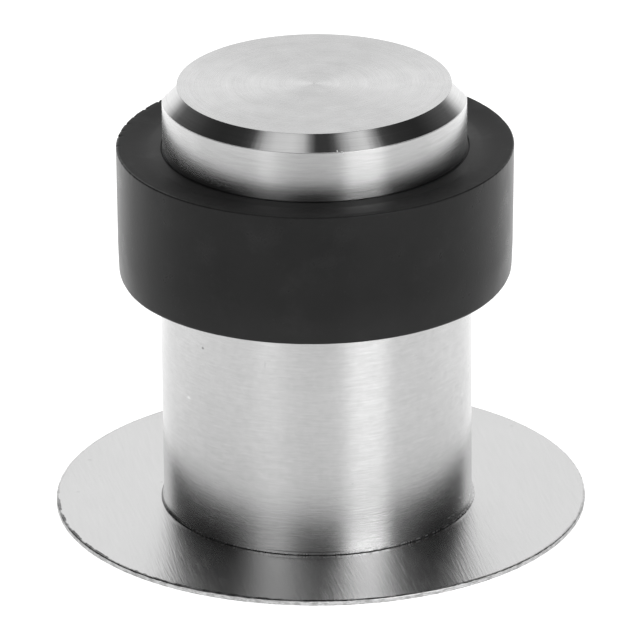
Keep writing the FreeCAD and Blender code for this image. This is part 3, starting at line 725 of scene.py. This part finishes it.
foot = []
for k in range(9):
    t = k / 8
    foot.append((TUBE_R + FLARE * (1 - t) ** 3, TUBE_Z0 + 0.13 + (FLARE_H - 0.13) * t))
tube_profile = divided(rounded(
    [(TUBE_R - TUBE_WALL, TUBE_Z0 + 0.02, 0.2, 3), (TUBE_R + FLARE - 0.22, TUBE_Z0 + 0.02, 0.0),
     (TUBE_R + FLARE - 0.07, TUBE_Z0 + 0.06, 0.0)]
    + [(r, z, 0.0) for r, z in foot]
    + [(TUBE_R, TUBE_Z1, 0.3, 4), (TUBE_R - TUBE_WALL, TUBE_Z1, 0.2, 3)],
    closed=True), 2.0, closed=True)
tube = lathe("post_tube_skin", tube_profile, 1080, True, tube_skin, lean=tube_off_axis)
wear(tube, M_TUBE)
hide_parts("post_tube")
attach(tube, "post")

# --- rubber ring: moulded, soft edges, small trimming cuts at the upper rim --
RING_CUTS = [(181.0, 0.9, 0.12), (173.0, 1.0, 0.22), (168.5, 0.7, 0.18), (163.0, 0.9, 0.24),
             (157.0, 0.7, 0.18), (150.0, 1.0, 0.22), (143.0, 0.8, 0.16), (137.0, 0.8, 0.18),
             (64.0, 0.8, 0.14), (88.0, 0.7, 0.10)]
RING_TRIM = [(344.0, 24.0, 0.30), (192.0, 22.0, 0.20)]       # the lower edge is trimmed flatter here


def ring_skin(r, z, a, j):
    if r < RING_IN_R + 3:
        return r, z
    up = (z - RING_Z0) / (RING_Z1 - RING_Z0)
    # the moulding isn't a perfect circle
    r += 0.035 * bumps(a, 6.1, 2.2) + 0.018 * bumps(a, 1.3, 7.0) + 0.03
    if r > RING_R - 2.5:
        mark = dips(a, RING_CUTS)
        ragged = 0.05 * bumps(a, 7.7, 40) + 0.03 * bumps(a, 2.9, 120)
        near = max(0.0, 1.0 - abs(z - RING_Z1) / 0.9)
        edge = max(0.0, (r - (RING_R - 0.9)) / 0.9)
        r -= near * near * edge * (mark + max(0.0, ragged))
        z -= near * near * edge * (mark * 0.8 + max(0.0, ragged) * 0.6)
        low = max(0.0, 1.0 - (z - RING_Z0) / 1.6)
        r -= low * 0.03 * (1 + bumps(a, 3.3, 18))
        r -= dips(a, RING_TRIM) * max(0.0, 1.0 - (z - RING_Z0) / 5.0)
    return r, z


ring_profile = divided(rounded([
    (RING_IN_R, RING_Z0, 0.3, 3),
    (RING_LOW_R, RING_Z0, 0.50, 8),
    (RING_R, RING_Z1, 0.22, 5),
    (RING_R - RING_LAND, RING_Z1, 8.0, 4),
    (CAP_R + 2.2, RING_Z1 - RING_DISH + 0.05, 3.0, 4),
    (CAP_R + 0.30, RING_Z1 - RING_DISH + 0.17, 0.16, 5),
    (CAP_R + 0.14, RING_Z1 - RING_DISH, 0.05, 3),
    (RING_IN_R, RING_Z1 - RING_DISH, 0.3, 3),
], closed=True), 0.9, closed=True)


def ring_off_axis(r, z):
    k = min(1.0, max(0.0, (r - RING_IN_R - 0.5) / 4.0))
    up = (z - RING_Z0) / (RING_Z1 - RING_Z0)
    return k * (RING_LEAN[0] - 0.06 + 0.12 * up), k * RING_LEAN[1]


ring = lathe("buffer_ring_rubber", ring_profile, 900, True, ring_skin, lean=ring_off_axis)
wear(ring, M_RUBBER)
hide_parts("buffer_ring")
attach(ring, "buffer")

# --- cap: one turned piece, with a centre pip ---------------------------------
def cap_skin(r, z, a, j):
    low = CAP_Z1 - CAP_CHAMFER
    if r > CAP_R - 0.4 and abs(z - low) < 0.35:
        near = 1 - abs(z - low) / 0.35
        r -= near * 0.006 * (1 + bumps(a, 4.0, 60))
    return r, z


def cap_off_axis(r, z):
    """Spigot and bore stay on the axis; everything above the seat leans."""
    if z > CAP_SEAT + 0.02 and not (r < CAP_BORE_R + 0.2 and z < CAP_BORE_TOP + 1.2):
        return CAP_LEAN
    return off_axis(CAP_LEAN, SPIGOT_R + 0.5)(r, z)


cap_profile = rounded([
    (0.0, CAP_BORE_TOP + 1.1),
    (CAP_BORE_R, CAP_BORE_TOP, 0.1, 2),
    (CAP_BORE_R, CAP_Z0 + 0.9, 0.1, 2),
    (CAP_BORE_R + 0.9, CAP_Z0, 0.1, 2),
    (SPIGOT_R, CAP_Z0, 0.2, 3),
    (SPIGOT_R, GROOVE_Z[0], 0.08, 2),
    (GROOVE_R, GROOVE_Z[0], 0.08, 2),
    (GROOVE_R, GROOVE_Z[1], 0.08, 2),
    (SPIGOT_R, GROOVE_Z[1], 0.08, 2),
    (SPIGOT_R, CAP_SEAT, 0.1, 2),
    (CAP_R, CAP_SEAT, 0.12, 4),
    (CAP_R, CAP_Z1 - CAP_CHAMFER, 0.10, 4),
    (CAP_R - CAP_CHAMFER, CAP_Z1, 0.08, 4),
    (0.26, CAP_Z1, 0.04, 3),
    (0.0, CAP_Z1 - 0.05),
])
cap_profile = [cap_profile[0]] + divided(cap_profile[1:-1], 1.6) + [cap_profile[-1]]
cap = lathe("cap_turned", cap_profile, 720, False, cap_skin,
            lean=cap_off_axis)
wear(cap, M_CAP)
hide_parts("cap")
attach(cap, "cap")

# --- O-ring -----------------------------------------------------------------
seal_mid = (SEAL_Z0 + SEAL_Z1) / 2
seal_small = (SEAL_Z1 - SEAL_Z0) / 2
seal_profile = [(SEAL_R - seal_small + seal_small * math.cos(TAU * k / 28),
                 seal_mid + seal_small * math.sin(TAU * k / 28)) for k in range(28)]


def seal_skin(r, z, a, j):
    # the moulding flash runs round the middle of the outside
    if r > SEAL_R - 0.06 and abs(z - seal_mid) < 0.05:
        r += 0.012 + 0.008 * bumps(a, 2.0, 20)
    return r, z


seal = lathe("cap_seal_ring", seal_profile, 256, True, seal_skin)
wear(seal, M_SEAL)
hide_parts("cap_o_ring")
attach(seal, "cap_seal")


# --- tie stud: a real M8 thread, right-handed --------------------------------
def thread_depth(u):
    """Depth below the crest at phase u of the pitch, 0 to 1, 60 degree flanks."""
    crest, root, deep = 0.125, 0.25, 0.60
    flank = (1 - crest - root) / 2
    if u < crest:
        return 0.0
    if u < crest + flank:
        return deep * (u - crest) / flank
    if u < crest + flank + root:
        return deep
    return deep * (1 - u) / flank


def threaded_stud():
    columns, step = 72, 0.1
    rows = int(round((STUD_Z1 - STUD_Z0) / step))
    bm = bmesh.new()
    rings = []
    for j in range(rows + 1):
        z = STUD_Z0 + (STUD_Z1 - STUD_Z0) * j / rows
        end = min(z - STUD_Z0, STUD_Z1 - z)
        limit = STUD_R - 0.9 + min(end, 0.9)
        ring = []
        for i in range(columns):
            a = TAU * i / columns
            u = ((z - STUD_Z0) / PITCH - i / columns) % 1.0
            r = min(STUD_R - 0.01 - thread_depth(u), limit - 0.01)
            ring.append(bm.verts.new((r * math.cos(a) * MM, r * math.sin(a) * MM, z * MM)))
        rings.append(ring)
    for low, high in zip(rings, rings[1:]):
        for i in range(columns):
            k = (i + 1) % columns
            bm.faces.new((low[i], low[k], high[k], high[i]))
    for ring, z, up in ((rings[0], STUD_Z0, False), (rings[-1], STUD_Z1, True)):
        inner = [bm.verts.new((v.co.x * 0.55, v.co.y * 0.55, z * MM)) for v in ring]
        centre = bm.verts.new((0, 0, z * MM))
        for i in range(columns):
            k = (i + 1) % columns
            if up:
                bm.faces.new((ring[i], ring[k], inner[k], inner[i]))
                bm.faces.new((inner[i], inner[k], centre))
            else:
                bm.faces.new((ring[k], ring[i], inner[i], inner[k]))
                bm.faces.new((inner[k], inner[i], centre))
    bmesh.ops.recalc_face_normals(bm, faces=bm.faces[:])
    return finished("tie_stud_thread", bm, 40.0)


stud = threaded_stud()
wear(stud, M_ZINC)
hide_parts("tie_stud")
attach(stud, "post")

# --- the pieces whose CAD shape is right get their finish --------------------
for node, mat in (("base_plug", M_DISC), ("head_plug", M_DISC), ("buffer_core", M_CORE),
                  ("core_washer", M_ZINC), ("core_spring_washer", M_ZINC), ("core_nut", M_ZINC)):
    obj = frame["nodes"][node]
    if obj.material_slots:
        for s in obj.material_slots:
            s.material = mat
    else:
        obj.data.materials.append(mat)


# ---------------------------------------------------------------------------
# Floor
# ---------------------------------------------------------------------------
def pale_floor():
    bm = bmesh.new()
    half, z = 3.0, -0.00006
    for x, y in ((-half, -half), (half, -half), (half, half), (-half, half)):
        bm.verts.new((x, y, z))
    bm.verts.ensure_lookup_table()
    bm.faces.new(bm.verts[:])
    mesh = bpy.data.meshes.new("table")
    bm.to_mesh(mesh)
    bm.free()
    obj = bpy.data.objects.new("table", mesh)
    bpy.context.scene.collection.objects.link(obj)
    # a white table that glows; its light and shade are painted into the glow: painted shadow dims it round the
    # object, most in front, and painted light makes it brighter towards the backdrop and the sides
    n = Nodes("table_white")
    x, y, z, r = n.radius_and_angle(n.place())
    front = n.span(y, 30.0, -20.0, 0.35, 1.0)
    # painted shadow: the glow is lower close to the object and lower again further out in front
    painted_shadow = n.span(r, 56.0, 74.0, 1.0 - FLOOR_NEAR, 1.0 - FLOOR_MID)
    painted_shadow = n.math("ADD", painted_shadow, n.span(r, 80.0, 150.0, 0.0, FLOOR_MID - FLOOR_FAR))
    glow = n.math("SUBTRACT", 1.0, n.math("MULTIPLY", painted_shadow, front))
    glow = n.math("ADD", glow, n.span(y, 45.0, 150.0, 0.0, FLOOR_BACK))
    glow = n.math("ADD", glow, n.span(n.math("ABSOLUTE", x, 0.0), 90.0, 165.0, 0.0, FLOOR_SIDE))
    # painted light: a brighter pool in front and to the left, where the soft box's light meets the table
    u = n.math("ADD", n.math("MULTIPLY", x, 0.829), n.math("MULTIPLY", y, -0.559))
    t = n.math("ADD", n.math("MULTIPLY", x, -0.559), n.math("MULTIPLY", y, -0.829))
    painted_light_pool = n.math("MULTIPLY", n.span(t, 115.0, 160.0), n.span(n.math("ABSOLUTE", u, 0.0), 12.0, 34.0, 1.0, 0.0))
    glow = n.math("ADD", glow, n.math("MULTIPLY", painted_light_pool, 0.24))
    # the camera sees the table as plain white, like the backdrop
    path = n.tree.nodes.new("ShaderNodeLightPath")
    glow = n.mix(path.outputs["Is Camera Ray"], glow, 1.05)
    b = n.bsdf
    b.inputs["Base Color"].default_value = (0.30, 0.30, 0.30, 1)
    b.inputs["Roughness"].default_value = 0.30
    b.inputs["Specular IOR Level"].default_value = 0.15
    b.inputs["Emission Color"].default_value = (1, 1, 1, 1)
    n.link(glow, b.inputs["Emission Strength"])
    mesh.materials.append(n.mat)
    return obj


FLOOR_NEAR, FLOOR_MID, FLOOR_FAR, FLOOR_BACK, FLOOR_SIDE = 0.78, 0.90, 0.76, 0.30, 0.30
pale_floor()


# ---------------------------------------------------------------------------
# Studio light: white backdrop behind, dim room in front, two soft boxes
# ---------------------------------------------------------------------------
BACK = 1.40
# brightness by direction round the object: degrees from the front, + to the right
LEVEL_SKIRT = [      # just above the table
    (-180, BACK), (-150, BACK), (-144, 1.15), (-140, 0.75), (-136, 0.32), (-131, 0.15),
    (-124, 0.11), (-116, 0.08), (-106, 0.04), (-68, 0.04), (-55, 0.20), (-48, 0.60), (-42, 1.35),
    (-27, 1.45), (-21, 0.9), (-15, 0.30), (-8, 0.16), (2, 0.14), (12, 0.25), (18, 0.7),
    (23, 3.6), (27, 6.2), (45, 6.2), (50, 4.2), (54, 1.2), (58, 0.3), (63, 0.13), (72, 0.12), (88, 0.04),
    (106, 0.03), (116, 0.07), (124, 0.11), (131, 0.15), (136, 0.32), (140, 0.75), (144, 1.15),
    (150, BACK), (180, BACK)]
LEVEL_LOW = [        # 23 degrees up
    (-180, BACK), (-150, BACK), (-144, 1.15), (-140, 0.75), (-136, 0.32), (-131, 0.15),
    (-124, 0.11), (-116, 0.08), (-106, 0.04), (-92, 0.03), (-66, 0.03), (-58, 0.10),
    (-52, 0.30), (-45, 0.56), (-38, 0.87), (-28, 0.91), (-20, 0.57), (-12, 0.30), (-4, 0.16),
    (2, 0.12), (8, 0.17), (14, 0.40), (19, 0.95), (24, 1.50), (29, 1.66), (48, 1.66),
    (52, 1.30), (56, 0.46), (61, 0.26), (68, 0.16), (77, 0.08), (88, 0.04), (106, 0.03),
    (116, 0.07), (124, 0.11), (131, 0.15), (136, 0.32), (140, 0.75), (144, 1.15), (150, BACK),
    (180, BACK)]
LEVEL_HIGH = [       # 55 degrees and more
    (-180, 1.25), (-144, 1.20), (-138, 0.5), (-132, 0.17), (-124, 0.11), (-110, 0.05),
    (-97, 0.035), (-80, 0.045), (-71, 0.09), (-60, 0.72), (-50, 0.96), (-30, 1.0),
    (-16, 0.80), (-7, 0.30), (2, 0.06), (18, 0.06), (26, 0.12), (35, 0.44), (47, 0.86),
    (60, 1.05), (68, 0.58), (76, 0.08), (88, 0.045), (104, 0.035), (112, 0.05),
    (124, 0.11), (132, 0.17), (138, 0.5), (144, 1.20), (180, 1.25)]


def studio():
    world = bpy.data.worlds.new("studio")
    bpy.context.scene.world = world
    world.use_nodes = True
    t = world.node_tree
    t.nodes.clear()
    TOP = 9.0

    def new(kind):
        return t.nodes.new(kind)

    def mth(op, a, b=0.0):
        n = new("ShaderNodeMath")
        n.operation = op
        for i, v in enumerate((a, b)):
            if isinstance(v, bpy.types.NodeSocket):
                t.links.new(v, n.inputs[i])
            else:
                n.inputs[i].default_value = v
        return n.outputs[0]

    def ramp_part(fac, stops, low, high):
        """One colour ramp for the stops between two directions (a ramp holds 32)."""
        n = new("ShaderNodeValToRGB")
        n.color_ramp.interpolation = "LINEAR"
        el = n.color_ramp.elements
        while len(el) > 1:
            el.remove(el[-1])
        first = True
        for deg, level in stops:
            pos = (deg - low) / (high - low)
            if first:
                el[0].position = pos
                e = el[0]
                first = False
            else:
                e = el.new(pos)
            v = level / TOP
            e.color = (v, v, v, 1)
        t.links.new(fac, n.inputs[0])
        return n.outputs[0]

    def ramp(deg, stops):
        left = [s for s in stops if s[0] <= 2]
        right = [s for s in stops if s[0] >= 2]
        f_left = mth("MULTIPLY", mth("ADD", deg, 180.0), 1.0 / 182.0)
        f_right = mth("MULTIPLY", mth("SUBTRACT", deg, 2.0), 1.0 / 178.0)
        a = ramp_part(f_left, left, -180.0, 2.0)
        b = ramp_part(f_right, right, 2.0, 180.0)
        side = mth("GREATER_THAN", deg, 2.0)
        out = mth("ADD", mth("MULTIPLY", a, mth("SUBTRACT", 1.0, side)), mth("MULTIPLY", b, side))
        return mth("MULTIPLY", out, TOP)

    def step(value, a, b):
        n = new("ShaderNodeMapRange")
        n.interpolation_type = "SMOOTHSTEP"
        n.inputs["From Min"].default_value = a
        n.inputs["From Max"].default_value = b
        t.links.new(value, n.inputs["Value"])
        return n.outputs[0]

    def blend(fac, a, b):
        return mth("ADD", mth("MULTIPLY", a, mth("SUBTRACT", 1.0, fac)), mth("MULTIPLY", b, fac))

    tc = new("ShaderNodeTexCoord")
    sep = new("ShaderNodeSeparateXYZ")
    t.links.new(tc.outputs["Generated"], sep.inputs[0])
    x, y, z = sep.outputs[0], sep.outputs[1], sep.outputs[2]
    azimuth = mth("MULTIPLY", mth("ARCTAN2", x, mth("MULTIPLY", y, -1.0)), 360.0 / TAU)
    elevation = mth("MULTIPLY", mth("ARCSINE", z), 360.0 / TAU)
    level = blend(step(elevation, 9.0, 21.0), ramp(azimuth, LEVEL_SKIRT), ramp(azimuth, LEVEL_LOW))
    level = blend(step(elevation, 25.0, 54.0), level, ramp(azimuth, LEVEL_HIGH))
    studio_bg = new("ShaderNodeBackground")
    t.links.new(level, studio_bg.inputs["Strength"])
    plain_bg = new("ShaderNodeBackground")
    plain_bg.inputs["Strength"].default_value = 1.05
    path = new("ShaderNodeLightPath")
    mix = new("ShaderNodeMixShader")
    t.links.new(path.outputs["Is Camera Ray"], mix.inputs[0])
    t.links.new(studio_bg.outputs[0], mix.inputs[1])
    t.links.new(plain_bg.outputs[0], mix.inputs[2])
    out = new("ShaderNodeOutputWorld")
    t.links.new(mix.outputs[0], out.inputs[0])


studio()


# ---------------------------------------------------------------------------
# Camera: a long lens, looking down 22.7 degrees, very slightly rolled
# ---------------------------------------------------------------------------
def camera():
    elevation, roll = math.radians(22.717), math.radians(-0.532)
    look = Vector((0.000437, 0.0, 0.029186))
    distance, lens_px = 1.38359, 9198.8
    forward = Vector((0, math.cos(elevation), -math.sin(elevation)))
    right = Vector((1, 0, 0))
    up = right.cross(forward)
    r2 = right * math.cos(roll) + up * math.sin(roll)
    u2 = up * math.cos(roll) - right * math.sin(roll)
    cam = bpy.data.cameras.new("camera")
    cam.sensor_width = 36.0
    cam.lens = lens_px * 36.0 / 640.0
    cam.clip_start = 0.01
    cam.clip_end = 50.0
    obj = bpy.data.objects.new("camera", cam)
    bpy.context.scene.collection.objects.link(obj)
    m = Matrix((r2, u2, -forward)).transposed().to_4x4()
    m.translation = look - forward * distance
    obj.matrix_world = m
    bpy.context.scene.camera = obj


camera()
bpy.context.scene.view_settings.view_transform = "Standard"
bpy.context.scene.view_settings.look = "None"

bpy.context.view_layer.update()
